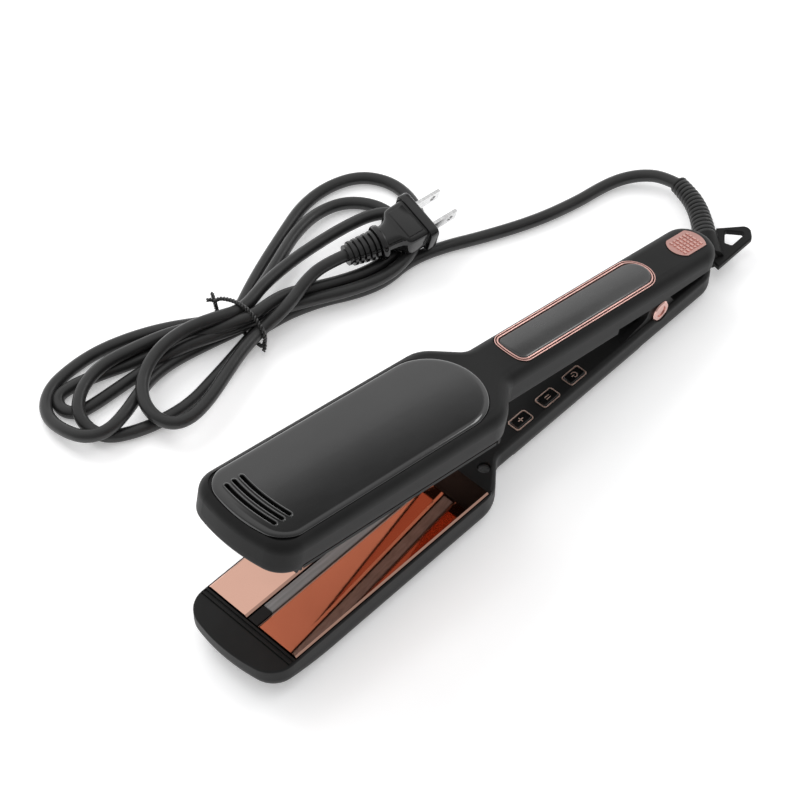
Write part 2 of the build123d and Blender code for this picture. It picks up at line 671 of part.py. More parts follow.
def plug_body():
    """Moulded plug: thick face flange, square-shouldered body, neck that narrows to the boot."""
    flange = block(-FLANGE_THICK, 0, -FLANGE_WIDE / 2, FLANGE_WIDE / 2, -FLANGE_HIGH / 2,
                   FLANGE_HIGH / 2)
    flange = fillet(flange.edges().filter_by(Axis.X), 3.0)
    flange = chamfer(flange.edges().group_by(Axis.X)[0] + flange.edges().group_by(Axis.X)[-1], 0.6)
    shoulder = block(SHOULDER_X, -FLANGE_THICK + 0.5, -SHOULDER_WIDE / 2, SHOULDER_WIDE / 2,
                     -SHOULDER_HIGH / 2, SHOULDER_HIGH / 2)
    shoulder = fillet(shoulder.edges().filter_by(Axis.X), 2.4)
    sections = [(SHOULDER_X + 0.1, SHOULDER_WIDE - 0.6, SHOULDER_HIGH - 0.4), (-17.0, 14.8, 11.8),
                (BOOT_START_X, 12.0, 10.6)]
    neck = loft([Plane.YZ.offset(x) * RectangleRounded(wide, high, 3.5)
                 for x, wide, high in sections], ruled=True)
    return flange + shoulder + neck - plug_blades()


def plug_blades():
    """Two flat blades with round holes near their ends."""
    blades = []
    for y in (-BLADE_PITCH / 2, BLADE_PITCH / 2):
        blade = block(-2.0, BLADE_LONG, y - 0.75, y + 0.75, -3.15, 3.15)
        blade = chamfer(blade.edges().group_by(Axis.X)[-1], 0.55)
        blades.append((blade - rod_y(BLADE_LONG - 4.4, 0, y - 2, y + 2, 1.6)).solid())
    return Compound(blades)


def plug_boot():
    """Ribbed boot behind the plug: a wide collar, five ribs and an end ring."""
    start, end = Vector(BOOT_START_X, 0, 0), Vector(*BOOT_END)
    heading = (end - start).normalized()
    body = between(start, end, 4.9, 3.9) + between(start, start + heading * 2.6, 7.1)
    for rib in range(5):
        root = start + heading * (4.0 + 2.5 * rib)
        body += between(root, root + heading * 1.3, 5.9 - 0.2 * rib)
    body += between(end - heading * 1.0, end, 4.8)
    return body - block(BOOT_START_X, 0, -15, 15, -15, 15)


def tail_route():
    """The cord from the boot's end over the hank and in under the tie."""
    spot = put_plug(Pos(*BOOT_END) * Sphere(0.1)).center()
    return [spot, (-8.5, -116.0, 17.9), (4.5, -116.4, 17.2), (17.0, -114.0, 15.6)]


# ---- Build ---------------------------------------------------------------------------------
def build_lower_arm():
    """Everything in the arm that lies on the floor."""
    arm = lower_block(FACE_Z, FACE_ROUND)
    shell = arm_shell(arm, CHIN_START_X, lower_panel_plan(SEAT_GAP))
    shell -= rod_x(0, SWIVEL_Z - CLOSE_Z, REAR_X - 5, -119, BUSH_R)
    save(put_lower(shell), "lower_shell")
    save(put_lower(plate_frame(lower_block(RIM_Z, RIM_ROUND), SEAT_HALF)), "lower_plate_frame")
    save(put_lower(lower_deck(arm)), "lower_deck")
    save(put_lower(back_panel(lower_panel_plan(), CROWN_Z)), "lower_back_panel")
    save(put_lower(crowned(trim_plan(), TRIM_RECESS_Z)), "lower_grip_pad")
    save(put_lower(swivel_bush()), "swivel_bush")
    save(put_lower(hinge_pin()), "hinge_pin")
    save(put_lower(hinge_caps()), "hinge_caps")
    save(put_lower(hinge_spring()), "hinge_spring")
    save(put_lower(circuit_board()), "circuit_board")
    save(put_lower(board_parts()), "board_parts")
    save(put_lower(board_posts()), "board_posts")
    save(put_lower(button_bezels()), "button_bezels")
    for x, name in zip(BUTTON_XS, ("power", "minus", "plus")):
        save(put_lower(button(x)), f"button_{name}")


def build_upper_arm():
    """Everything in the arm that lifts."""
    arm = upper_block()
    badge_seat = prism(badge_plan(TRIM_GAP), BACK_Z - 5, TRIM_RECESS_Z)
    shell = arm_shell(arm, TIP_X, upper_panel_plan(SEAT_GAP)) - badge_seat - upper_rear_cut()
    low_rim = across(SEAT_REAR_X, SEAT_FRONT_X, UPPER_RIM_Z, 5)
    seat = block(SEAT_REAR_X, SEAT_FRONT_X, -SEAT_HALF, SEAT_HALF, UPPER_RIM_Z - 1, SEAT_Z)
    frame = plate_frame(arm, BEYOND) - (low_rim - seat)
    save(put_upper(shell), "upper_shell")
    save(put_upper(frame), "upper_plate_frame")
    save(put_upper(deck(arm, -58)), "upper_deck")
    save(put_upper(vented_panel()), "upper_back_panel")
    save(put_upper(grip_pad()), "upper_grip_pad")
    save(put_upper(trim_ring()), "trim_ring")
    save(put_upper(badge()), "badge")
    save(put_upper(hinge_lug()), "hinge_lug")


def build_plates(arm, put):
    """The plates of one arm and what lies round and under them."""
    for side, name in ((-1, "a"), (1, "b")):
        save(put(plate(side)), f"{arm}_plate_{name}")
        save(put(heater(side)), f"{arm}_heater_{name}")
    save(put(plate_springs()), f"{arm}_plate_springs")
    save(put(centre_strip()), f"{arm}_centre_strip")
    save(put(strip_block()), f"{arm}_strip_block")
    save(put(strip_bridge()), f"{arm}_strip_bridge")
    save(put(front_bar()), f"{arm}_front_bar")
    save(put(rear_bar()), f"{arm}_rear_bar")
    save(put(thermal_fuse()), f"{arm}_thermal_fuse")
    save(put(deck_screws()), f"{arm}_deck_screws")


def build_lead():
    """Swivel tail, strain relief, lead, hank, tie and plug."""
    lead = cord_tube(LEAD_ROUTE, "cord_lead")
    tail = cord_tube(tail_route(), "cord_tail")
    tie = twist_tie()
    save(swivel_tail(), "swivel_tail")
    save(strain_relief() - lead - between(COLLAR_START, COLLAR_END, COLLAR_R + 1), "strain_relief")
    save(lead, "cord_lead")
    save(tail, "cord_tail")
    plug = put_plug(plug_body())
    save(hank() - lead - tail - tie - plug, "cord_hank")
    save(tie, "twist_tie")
    save(plug, "plug_body")
    save(put_plug(plug_blades()), "plug_blades")
    save(put_plug(plug_boot()) - tail, "plug_boot")


build_lower_arm()
build_upper_arm()
build_plates("lower", put_lower)
build_plates("upper", put_upper)
build_lead()
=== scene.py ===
"""Flat iron: looks, lead and studio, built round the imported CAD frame. Metres, row frame."""
import json
import math

import bmesh
import bpy
from mathutils import Matrix, Vector
from mathutils.bvhtree import BVHTree


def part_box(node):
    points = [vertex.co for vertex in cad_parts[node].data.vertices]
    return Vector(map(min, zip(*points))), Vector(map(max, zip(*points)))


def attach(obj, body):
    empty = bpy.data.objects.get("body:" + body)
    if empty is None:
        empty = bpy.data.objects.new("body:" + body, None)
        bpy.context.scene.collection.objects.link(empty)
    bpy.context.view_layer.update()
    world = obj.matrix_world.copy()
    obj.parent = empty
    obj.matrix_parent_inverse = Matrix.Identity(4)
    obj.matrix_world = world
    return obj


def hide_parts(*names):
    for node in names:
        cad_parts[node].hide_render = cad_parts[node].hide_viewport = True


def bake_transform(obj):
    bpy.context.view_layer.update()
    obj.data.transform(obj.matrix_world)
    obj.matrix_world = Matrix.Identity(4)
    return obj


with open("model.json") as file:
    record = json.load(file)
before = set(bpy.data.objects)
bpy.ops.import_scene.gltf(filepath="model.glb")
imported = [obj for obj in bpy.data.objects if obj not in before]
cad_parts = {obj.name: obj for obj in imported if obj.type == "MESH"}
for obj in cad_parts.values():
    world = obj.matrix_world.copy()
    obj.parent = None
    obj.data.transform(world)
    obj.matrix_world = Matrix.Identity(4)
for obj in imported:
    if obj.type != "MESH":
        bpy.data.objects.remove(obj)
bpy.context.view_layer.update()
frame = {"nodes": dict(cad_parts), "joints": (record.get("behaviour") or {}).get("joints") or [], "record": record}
RECORD = frame["record"]
JOINTS = {joint["name"]: joint for joint in frame["joints"]}
MM = 0.001

# ---- The frame's own numbers ----------------------------------------------------------------
HINGE = Vector(JOINTS["arm_hinge"]["pos_m"])
OPEN_ANGLE = math.radians(JOINTS["arm_hinge"]["range_deg"][1])
CLOSE_Z = HINGE.z
CORD_R = 2.95 * MM

UPPER_PLACE = (Matrix.Translation(HINGE) @ Matrix.Rotation(-OPEN_ANGLE, 4, "Y")
               @ Matrix.Translation((-HINGE.x, 0, 0)) @ Matrix.Rotation(math.pi, 4, "X"))
LOWER_PLACE = Matrix.Translation((0, 0, CLOSE_Z))

RAMP_START, RAMP_END = 0.35, 0.65   # where a texture's value starts and stops changing a colour
SHARP = math.radians(38)            # edges that turn more than this stay sharp
UPPER_WALL_Y = 20 * MM              # past this an upper plate's side face is its outer wall


# ---- Node helpers -----------------------------------------------------------------------------
class Nodes:
    """A short way to write a material's node tree."""

    def __init__(self, name):
        self.material = bpy.data.materials.new(name)
        self.material.use_nodes = True
        self.tree = self.material.node_tree
        self.tree.nodes.clear()
        self.shader = self.add("ShaderNodeBsdfPrincipled")
        output = self.add("ShaderNodeOutputMaterial")
        self.link(self.shader, "BSDF", output, "Surface")

    def add(self, kind, **values):
        """A node with its properties and unlinked inputs set."""
        node = self.tree.nodes.new(kind)
        for key, value in values.items():
            if hasattr(node, key):
                setattr(node, key, value)
            else:
                node.inputs[key.replace("_", " ")].default_value = value
        return node

    def link(self, source, output, target, socket):
        """Join one node's output to another's input."""
        self.tree.links.new(source.outputs[output], target.inputs[socket])

    def set(self, **values):
        """Fixed values on the shader."""
        for key, value in values.items():
            self.shader.inputs[key.replace("_", " ")].default_value = value

    def place(self, scale=(1, 1, 1)):
        """Object coordinates, scaled."""
        where = self.add("ShaderNodeTexCoord")
        mapping = self.add("ShaderNodeMapping", Scale=scale)
        self.link(where, "Object", mapping, "Vector")
        return mapping

    def noise(self, scale, detail=4.0, rough=0.5, stretch=(1, 1, 1)):
        """Noise texture over object space."""
        node = self.add("ShaderNodeTexNoise", Scale=scale, Detail=detail, Roughness=rough)
        self.link(self.place(stretch), "Vector", node, "Vector")
        return node

    def colour(self, source, low, high):
        """Base colour that runs between two colours with a texture's value."""
        node = self.add("ShaderNodeValToRGB")
        ends = node.color_ramp.elements
        ends[0].position = RAMP_START
        ends[1].position = RAMP_END
        ends[0].color = low
        ends[1].color = high
        self.link(source, "Fac", node, "Fac")
        self.link(node, "Color", self.shader, "Base Color")

    def roughness(self, source, low, high):
        """Roughness that runs between two values with a texture's value."""
        node = self.add("ShaderNodeMapRange")
        node.inputs["To Min"].default_value = low
        node.inputs["To Max"].default_value = high
        self.link(source, "Fac", node, "Value")
        self.link(node, "Result", self.shader, "Roughness")

    def bump(self, source, strength, distance):
        """Bump from a texture's value."""
        node = self.add("ShaderNodeBump", Strength=strength, Distance=distance)
        self.link(source, "Fac", node, "Height")
        self.link(node, "Normal", self.shader, "Normal")


def grey(value):
    """A neutral grey."""
    return (value, value, value, 1.0)


# ---- Materials --------------------------------------------------------------------------------
def soft_touch_black(name, shade=0.010, rough=0.46, grain=0.10):
    """Rubberised black moulding: fine grain, faint mottling, a soft highlight."""
    m = Nodes(name)
    mottle = m.noise(45.0, 3.0)
    m.colour(mottle, grey(shade * 0.85), grey(shade * 1.25))
    fine = m.noise(2600.0, 2.0, 0.6)
    m.roughness(mottle, rough - 0.05, rough + 0.06)
    m.bump(fine, grain, 0.00012)
    m.set(Specular_IOR_Level=0.18)
    return m.material


def gloss_black(name, shade=0.008, rough=0.06, coat=0.6):
    """Piano-black moulding with a slight orange peel and faint wipe marks."""
    m = Nodes(name)
    wipe = m.noise(30.0, 5.0, 0.65, (1.0, 2.6, 1.0))
    m.colour(wipe, grey(shade * 0.8), grey(shade * 1.4))
    m.roughness(wipe, rough * 0.6, rough * 1.8)
    peel = m.noise(260.0, 1.0)
    m.bump(peel, 0.04, 0.0002)
    m.set(Coat_Weight=coat, Coat_Roughness=0.03)
    return m.material


def satin_grey(name, shade=0.05, rough=0.34):
    """Satin charcoal insert with fine lengthwise brushing."""
    m = Nodes(name)
    lines = m.noise(900.0, 2.0, 0.6, (0.04, 1.0, 1.0))
    m.colour(lines, grey(shade * 0.85), grey(shade * 1.2))
    m.roughness(lines, rough - 0.06, rough + 0.08)
    m.bump(lines, 0.08, 0.00008)
    return m.material


def rose_metal(name, colour=(0.90, 0.60, 0.52), rough=0.14, line_scale=700.0):
    """Rose-gold plating with faint brushing and cloudy tone."""
    m = Nodes(name)
    cloud = m.noise(60.0, 4.0)
    dark = tuple(c * 0.90 for c in colour) + (1,)
    light = tuple(min(1, c * 1.05) for c in colour) + (1,)
    m.colour(cloud, dark, light)
    lines = m.noise(line_scale, 2.0, 0.5, (0.08, 1.0, 1.0))
    m.roughness(lines, rough * 0.6, rough * 1.5)
    m.bump(lines, 0.012, 0.00005)
    m.set(Metallic=1.0)
    return m.material


def plate_mirror(name, colour=(0.88, 0.56, 0.49)):
    """Mirror-polished rose coating of the heating plates, with hair-fine polish lines."""
    m = Nodes(name)
    cloud = m.noise(22.0, 3.0)
    dark = tuple(c * 0.93 for c in colour) + (1,)
    light = tuple(min(1, c * 1.04) for c in colour) + (1,)
    m.colour(cloud, dark, light)
    polish = m.noise(1500.0, 2.0, 0.5, (0.02, 1.0, 1.0))
    m.roughness(polish, 0.02, 0.05)
    ripple = m.noise(16.0, 1.0)
    m.bump(ripple, 0.004, 0.0006)
    m.set(Metallic=1.0)
    return m.material


def bright_steel(name, shade=0.62, rough=0.22):
    """Machined steel."""
    m = Nodes(name)
    lines = m.noise(800.0, 3.0, 0.6, (1.0, 0.15, 1.0))
    m.colour(lines, grey(shade * 0.85), grey(shade * 1.1))
    m.roughness(lines, rough * 0.7, rough * 1.4)
    m.bump(lines, 0.06, 0.00005)
    m.set(Metallic=1.0)
    return m.material


def ceramic(name):
    """Chalky fired ceramic."""
    m = Nodes(name)
    speck = m.noise(700.0, 4.0, 0.7)
    m.colour(speck, (0.72, 0.70, 0.66, 1), (0.86, 0.85, 0.82, 1))
    m.bump(speck, 0.2, 0.0001)
    m.set(Roughness=0.7)
    return m.material


def board_green(name):
    """Circuit board with solder mask and a grid of copper traces."""
    m = Nodes(name)
    traces = m.add("ShaderNodeTexBrick", Scale=260.0)
    traces.inputs["Color1"].default_value = (0.02, 0.16, 0.06, 1)
    traces.inputs["Color2"].default_value = (0.03, 0.20, 0.08, 1)
    traces.inputs["Mortar"].default_value = (0.10, 0.32, 0.12, 1)
    m.link(m.place(), "Vector", traces, "Vector")
    m.link(traces, "Color", m.shader, "Base Color")
    m.bump(traces, 0.15, 0.00005)
    m.set(Roughness=0.3)
    return m.material


def cord_rubber(name, shade=0.016, rough=0.34):
    """Matt black cable jacket with a dusty bloom."""
    m = Nodes(name)
    bloom = m.noise(70.0, 4.0)
    m.colour(bloom, grey(shade * 0.85), grey(shade * 1.3))
    m.roughness(bloom, rough - 0.06, rough + 0.08)
    fine = m.noise(1800.0, 2.0)
    m.bump(fine, 0.08, 0.00008)
    return m.material


def floor_white(name):
    """Pale seamless paper."""
    m = Nodes(name)
    fibre = m.noise(12.0, 4.0)
    m.colour(fibre, (0.90, 0.90, 0.905, 1), (0.93, 0.93, 0.935, 1))
    m.set(Roughness=0.9, Emission_Color=(1, 1, 1, 1), Emission_Strength=0.30)
    return m.material


SHELL = soft_touch_black("soft_touch_black")
INNER = soft_touch_black("inner_cover_black", 0.012, 0.44, 0.14)
GLOSS = gloss_black("gloss_black")
KEY = gloss_black("key_gloss", 0.006, 0.10)
PAD = gloss_black("pad_satin", 0.018, 0.20)
STRIP = satin_grey("strip_grey", 0.20, 0.40)
ROSE = rose_metal("rose_trim", (0.80, 0.49, 0.44), 0.20)
# Bezels and key marks take a paler copy of the rose plating: painted light, which lifts parts that sit in the
# shade under the open upper arm.
BEZEL_PAINTED_LIGHT = rose_metal("rose_bezel_painted_light", (0.95, 0.70, 0.60), 0.50)
BADGE = rose_metal("rose_badge", (0.66, 0.38, 0.34), 0.30, 1400.0)
PLATE = plate_mirror("plate_mirror", (0.69, 0.41, 0.32))
# The upper plates take a darker, redder copy of the same plate coating: painted reflection and shade, standing in
# for the coppery light the lower plate throws back onto them.
UPPER_PLATE_PAINTED_REFLECTION = plate_mirror("upper_plate_painted_reflection", (0.52, 0.25, 0.17))
STEEL = bright_steel("bright_steel")
NICKEL = bright_steel("blade_nickel", 0.72, 0.16)
CERAMIC = ceramic("ceramic")
BOARD = board_green("board_green")
CORD = cord_rubber("cord_rubber")
PLUG = gloss_black("plug_moulding", 0.006, 0.10, 0.15)
TIE = gloss_black("tie_wire_black", 0.012, 0.25)
FLOOR = floor_white("paper_white")

NODE_MATERIAL = {
    "black_shell": SHELL, "black_gloss": GLOSS, "grey_pad": PAD, "rose_metal": ROSE,
    "plate_coat": PLATE, "steel": STEEL, "blade_nickel": NICKEL, "ceramic": CERAMIC,
    "board_green": BOARD, "board_black": INNER, "cord_jacket": CORD, "tie_paper": CORD,
}


def dress(node, material):
    """Give a CAD node its material."""
    data = frame["nodes"][node].data
    data.materials.clear()
    data.materials.append(material)


def mask_outer_walls(node):
    """Black on the upper plates' outer walls."""
    mesh = frame["nodes"][node].data
    mesh.materials.append(SHELL)
    for polygon in mesh.polygons:
        if abs(polygon.normal.y) > 0.9 and abs(polygon.center.y) > UPPER_WALL_Y:
            polygon.material_index = 1


def dress_nodes():
    """Every CAD node takes the material of its slot, then a few take a special one."""
    for part in RECORD["subparts"]:
        dress(part["node"], NODE_MATERIAL[part["material_slot"]])
    for name in ("lower_deck", "upper_deck", "lower_plate_frame", "upper_plate_frame"):
        dress(name, INNER)
    for arm in ("lower", "upper"):
        dress(f"{arm}_centre_strip", STRIP)
    dress("badge", BADGE)
    # The bezels take the paler rose copy, which is painted light.
    dress("button_bezels", BEZEL_PAINTED_LIGHT)
    for name in ("plug_body", "plug_boot"):
        dress(name, PLUG)
    for name in ("power", "minus", "plus"):
        dress(f"button_{name}", KEY)
    for side in "ab":
        # Upper plates get the darker copy of the coating, which is painted reflection and shade.
        dress(f"upper_plate_{side}", UPPER_PLATE_PAINTED_REFLECTION)
        mask_outer_walls(f"upper_plate_{side}")


# ---- The free cord ----------------------------------------------------------------------------
LEAD = [(-165.6, -38.8, 8.13), (-165.4, -47.6, 7.2), (-160.8, -56.4, 5.6), (-152.8, -63.0, 4.0),
        (-142.2, -66.4, 3.2), (-129.0, -68.2, 3.0), (-107.0, -73.8, 3.0), (-84.0, -83.6, 3.0),
        (-62.0, -95.0, 3.0), (-46.0, -99.5, 3.0)]
LEAD_TO_TIE = [(-30, -98.5, 3), (-16, -103, 3), (-3, -110.5, 3), (12, -116, 3), (24, -118, 3)]
# Each loop of the hank runs from the tie round its end and back to the tie. The spots where
# strands pass through the tie lie in three layers.
TIE_X = 33.0
FAR_LOW_LOOP = [(46, -116, 3), (63.5, -112.5, 3), (80.5, -109.5, 3), (96, -111.5, 3),
                (108, -115.5, 3), (118, -121.5, 3), (121.5, -130, 4.5), (120, -138, 7.5),
                (114, -144, 8.6), (105, -148.5, 8.6), (93.5, -150, 8.6), (80.5, -147.5, 8.6),
                (63.5, -143, 8.6), (48, -135, 8.4)]
NEAR_LOW_LOOP = [(13.5, -133, 8.3), (-3, -139.5, 8), (-20.5, -147, 6.5), (-38, -150.5, 4.5),
                 (-53.5, -146.5, 3.5), (-62.5, -134, 3), (-62, -120, 3), (-52.5, -109.5, 3),
                 (-38, -104.5, 3), (-24, -107, 3), (-9.5, -114, 3), (4, -120.5, 3),
                 (19.5, -124.5, 3)]
FAR_OUTER_LOOP = [(53.5, -130, 3), (69.5, -132.5, 3.8), (83.5, -131, 6), (95, -126.5, 8.2),
                  (107, -122, 9), (118, -120, 9), (126.5, -124, 8.5), (130, -133.5, 7),
                  (130, -145.5, 5), (125.5, -154, 4), (117, -160, 3.5), (105, -162, 3.2),
                  (90.5, -161.5, 3.2), (75.5, -157.5, 3.2), (60.5, -150.5, 3.5), (47, -141.5, 3.5)]
NEAR_OUTER_LOOP = [(19.5, -138, 3), (2, -145.5, 3), (-18.5, -153, 3), (-37, -159.5, 3),
                   (-54.5, -160, 3), (-70, -154, 3), (-77.5, -141, 3), (-76.5, -126, 3),
                   (-69, -113, 4.5), (-57, -102.5, 7.5), (-43.5, -97.5, 8.6), (-29, -96.5, 8.6),
                   (-12.5, -102, 8.5), (4, -111, 8.4), (19.5, -118.5, 8.3)]
FAR_INNER_LOOP = [(48, -126.5, 8.6), (59.5, -131, 8.8), (71.5, -135, 7), (83.5, -137.5, 4),
                  (97, -139, 3), (109, -139.5, 3), (118.5, -141, 3), (122, -148, 3),
                  (118, -155, 3), (107, -154, 3), (96, -150.5, 3), (81.5, -145, 3), (65.5, -139, 5),
                  (50, -129, 10.5)]
NEAR_TOP_LOOP = [(23.5, -119.5, 14), (13.5, -119, 13), (3, -116, 10.5), (-10.5, -110, 8.9),
                 (-25, -104.5, 8.6), (-38, -103.5, 8.6), (-50.5, -105.5, 8.6), (-60, -111, 8.6),
                 (-61, -120.5, 8.8), (-52.5, -128, 9), (-38, -131, 9.6), (-21.5, -132, 10.8),
                 (-3, -132, 12), (15.5, -130, 13.2)]
FAR_TOP_LOOP = [(46, -129.5, 15.8), (59.5, -134.5, 15.5), (74.5, -135.5, 14), (88.5, -130.5, 12.5),
                (97, -122, 11), (100, -111.5, 10), (97.5, -102.5, 9.8), (89.5, -99, 9.8),
                (76.5, -101, 10), (61.5, -106, 10.5), (48, -110.5, 10.5)]
TAIL = [(23, -112.5, 12.6), (13, -113, 15.4), (3, -115.3, 17), (-8, -115.8, 18)]
TIE_SPOTS = {"low_right": (-119.0, 3.0), "low_mid": (-125.0, 3.0), "low_left": (-131.0, 3.0),
             "mid_left": (-128.0, 8.1), "mid_mid": (-122.0, 8.1), "mid_right": (-114.3, 8.8),
             "top_left": (-125.5, 13.5), "top_right": (-119.5, 13.8)}


def tie_spot(name):
    """Where a strand passes through the tie."""
    y, z = TIE_SPOTS[name]
    return (TIE_X, y, z)


def cord_route():
    """Control points of the whole free cord, from the strain relief to the plug's boot."""
    low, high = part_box("cord_tail")
    boot_end = (low.x / MM + 0.3, -112.2, 18.5)
    chain = [LEAD, LEAD_TO_TIE, [tie_spot("low_right")], FAR_LOW_LOOP, [tie_spot("mid_left")],
             NEAR_LOW_LOOP, [tie_spot("low_mid")], FAR_OUTER_LOOP, [tie_spot("low_left")],
             NEAR_OUTER_LOOP, [tie_spot("mid_mid")], FAR_INNER_LOOP, [tie_spot("top_right")],
             NEAR_TOP_LOOP, [tie_spot("top_left")], FAR_TOP_LOOP, [tie_spot("mid_right")],
             TAIL, [boot_end]]
    return [Vector(point) * MM for stretch in chain for point in stretch]


def nurbs(name, points):
    """One open NURBS curve steered by given control points, which it need not touch."""
    data = bpy.data.curves.new(name, "CURVE")
    data.dimensions = "3D"
    data.resolution_u = 10
    spline = data.splines.new("NURBS")
    spline.points.add(len(points) - 1)
    for slot, point in zip(spline.points, points):
        slot.co = (*point, 1.0)
    spline.order_u = 3
    spline.use_endpoint_u = True
    curve = bpy.data.objects.new(name, data)
    bpy.context.scene.collection.objects.link(curve)
    return curve


def line_of(curve):
    """The points along a curve's own line."""
    depsgraph = bpy.context.evaluated_depsgraph_get()
    mesh = bpy.data.meshes.new_from_object(curve.evaluated_get(depsgraph))
    points = []
    for vertex in mesh.vertices:
        if not points or (vertex.co - points[-1]).length > 0.1 * MM:
            points.append(vertex.co.copy())
    bpy.data.meshes.remove(mesh)
    return points


def make_cord():
    """The cord as one tube that bends where it leaves the swivel's strain relief."""
    curve = nurbs("cord", cord_route())
    bpy.context.view_layer.update()
    path = line_of(curve)
    curve.data.bevel_depth = CORD_R
    curve.data.bevel_resolution = 5
    bpy.context.view_layer.update()
    depsgraph = bpy.context.evaluated_depsgraph_get()
    mesh = bpy.data.meshes.new_from_object(curve.evaluated_get(depsgraph))
    bpy.data.objects.remove(curve)
    cord = bpy.data.objects.new("cord", mesh)
    bpy.context.scene.collection.objects.link(cord)
    finish_mesh(cord, CORD)
    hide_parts("cord_lead", "cord_tail", "cord_hank")
    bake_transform(cord)
    make_plug()
    make_boot()
    make_tie()
    make_relief()


def finish_mesh(piece, material):
    """Material and smooth shading for a new piece."""
    piece.data.materials.clear()
    piece.data.materials.append(material)
    for polygon in piece.data.polygons:
        polygon.use_smooth = True
    piece.data.set_sharp_from_angle(angle=SHARP)


# ---- Mesh helpers -----------------------------------------------------------------------------
def mesh_object(name, verts, faces, place):
    """A plain mesh object from points in millimetres, put in its place."""
    mesh = bpy.data.meshes.new(name)
    mesh.from_pydata([place @ (Vector(v) * MM) for v in verts], [], faces)
    bm = bmesh.new()
    bm.from_mesh(mesh)
    bmesh.ops.recalc_face_normals(bm, faces=bm.faces)
    bm.to_mesh(mesh)
    bm.free()
    made = bpy.data.objects.new(name, mesh)
    bpy.context.scene.collection.objects.link(made)
    return made


def new_piece(name, verts, faces, material, body, slot, place=Matrix.Identity(4)):
    """A mesh object with its material, which rides a body. The slot argument is not used."""
    piece = mesh_object(name, verts, faces, place)
    finish_mesh(piece, material)
    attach(piece, body)
    return piece


def rings_to_mesh(rings, closed=False, capped=True):
    """Faces joining rings of equal point count."""
    count = len(rings[0])
    verts = [point for ring in rings for point in ring]
    faces = []
    spans = len(rings) if closed else len(rings) - 1
    for i in range(spans):
        a, b = i * count, ((i + 1) % len(rings)) * count
        for k in range(count):
            n = (k + 1) % count
            faces.append((a + k, a + n, b + n, b + k))
    if capped and not closed:
        faces.append(tuple(range(count))[::-1])
        faces.append(tuple(range((len(rings) - 1) * count, len(rings) * count)))
    return verts, faces


def frames_along(points, closed=False):
    """Heading, side and up at each point, without twist."""
    frames = []
    side = None
    count = len(points)
    for i, point in enumerate(points):
        if closed:
            heading = points[(i + 1) % count] - points[i - 1]
        else:
            heading = points[min(i + 1, count - 1)] - points[max(i - 1, 0)]
        heading.normalize()
        if side is None:
            start = Vector((0, 0, 1)) if abs(heading.z) < 0.8 else Vector((0, 1, 0))
            side = heading.cross(start).normalized()
        side = (side - heading * side.dot(heading)).normalized()
        frames.append((heading, side, heading.cross(side)))
    return frames


def tube(points, radius_at, sides=16, closed=False, flat=1.0):
    """A tube along points with a radius for each share of the way."""
    points = [Vector(p) for p in points]
    last = len(points) - 1
    rings = []
    for i, (point, (_, side, up)) in enumerate(zip(points, frames_along(points, closed))):
        radius = radius_at(i / last)
        rings.append([point + side * math.cos(2 * math.pi * k / sides) * radius
                      + up * math.sin(2 * math.pi * k / sides) * radius * flat
                      for k in range(sides)])
    return rings_to_mesh(rings, closed)


def smooth_line(points, steps):
    """Evenly spaced points along a NURBS curve steered by given points, in millimetres."""
    curve = nurbs("line", [Vector(p) for p in points])
    curve.data.resolution_u = 24
    bpy.context.view_layer.update()
    fine = line_of(curve)
    bpy.data.objects.remove(curve)
    lengths = [0.0]
    for a, b in zip(fine, fine[1:]):
        lengths.append(lengths[-1] + (b - a).length)
    out = []
    at = 0
    for step in range(steps + 1):
        want = lengths[-1] * step / steps
        while at < len(fine) - 2 and lengths[at + 1] < want:
            at += 1
        span = max(lengths[at + 1] - lengths[at], 1e-9)
        out.append(fine[at].lerp(fine[at + 1], min(1, (want - lengths[at]) / span)))
    return out


def join(*meshes):
    """Several vertex and face lists as one."""
    verts, faces = [], []
    for v, f in meshes:
        shift = len(verts)
        verts += [Vector(p) for p in v]
        faces += [tuple(i + shift for i in face) for face in f]
    return verts, faces


def bar(centre, size, round_off=0.12):
    """A small box with its upper edges drawn in, for raised marks."""
    cx, cy, cz = centre
    hx, hy, hz = (d / 2 for d in size)
    low = [(cx + sx * hx, cy + sy * hy, cz + hz) for sx, sy in ((-1, -1), (1, -1), (1, 1), (-1, 1))]
    hx, hy = hx - round_off, hy - round_off
    high = [(cx + sx * hx, cy + sy * hy, cz - hz) for sx, sy in ((-1, -1), (1, -1), (1, 1), (-1, 1))]
    return rings_to_mesh([low, high])


# ---- Trim, badge and button marks ---------------------------------------------------------------
# A plan is front, rear, half width, corner radius and how far the front bows, in arm space.
TRIM_PLAN = (6.3, -89.8, 9.6, 4.6, 1.0)
PAD_PLAN = (4.4, -87.8, 7.6, 3.0, 1.0)
PANEL_PLAN = (161.8, 27.8, 22.3, 9.0, 4.5)
SIDE_STEPS = 36                     # points along each long side of a plan
TRIM_Z = -18.02                     # height of the beads' centre line, arm space
TRIM_BEADS = ((0.27, 0.27), (1.45, 0.42))   # inset from the plan and radius of each bead
VENT_XS = (148.0, 152.0, 156.0)
VENT_HALF, VENT_WIDE, VENT_BOW_R = 12.8, 2.5, 60.0
VENT_RIM_R = 0.42
KEY_Y = 7.4
PLUS_X, MINUS_X, POWER_X = -3.5, -20.8, -38.1
MARK_Z, MARK_HIGH, MARK_EDGE = -1.74, 0.14, 0.05


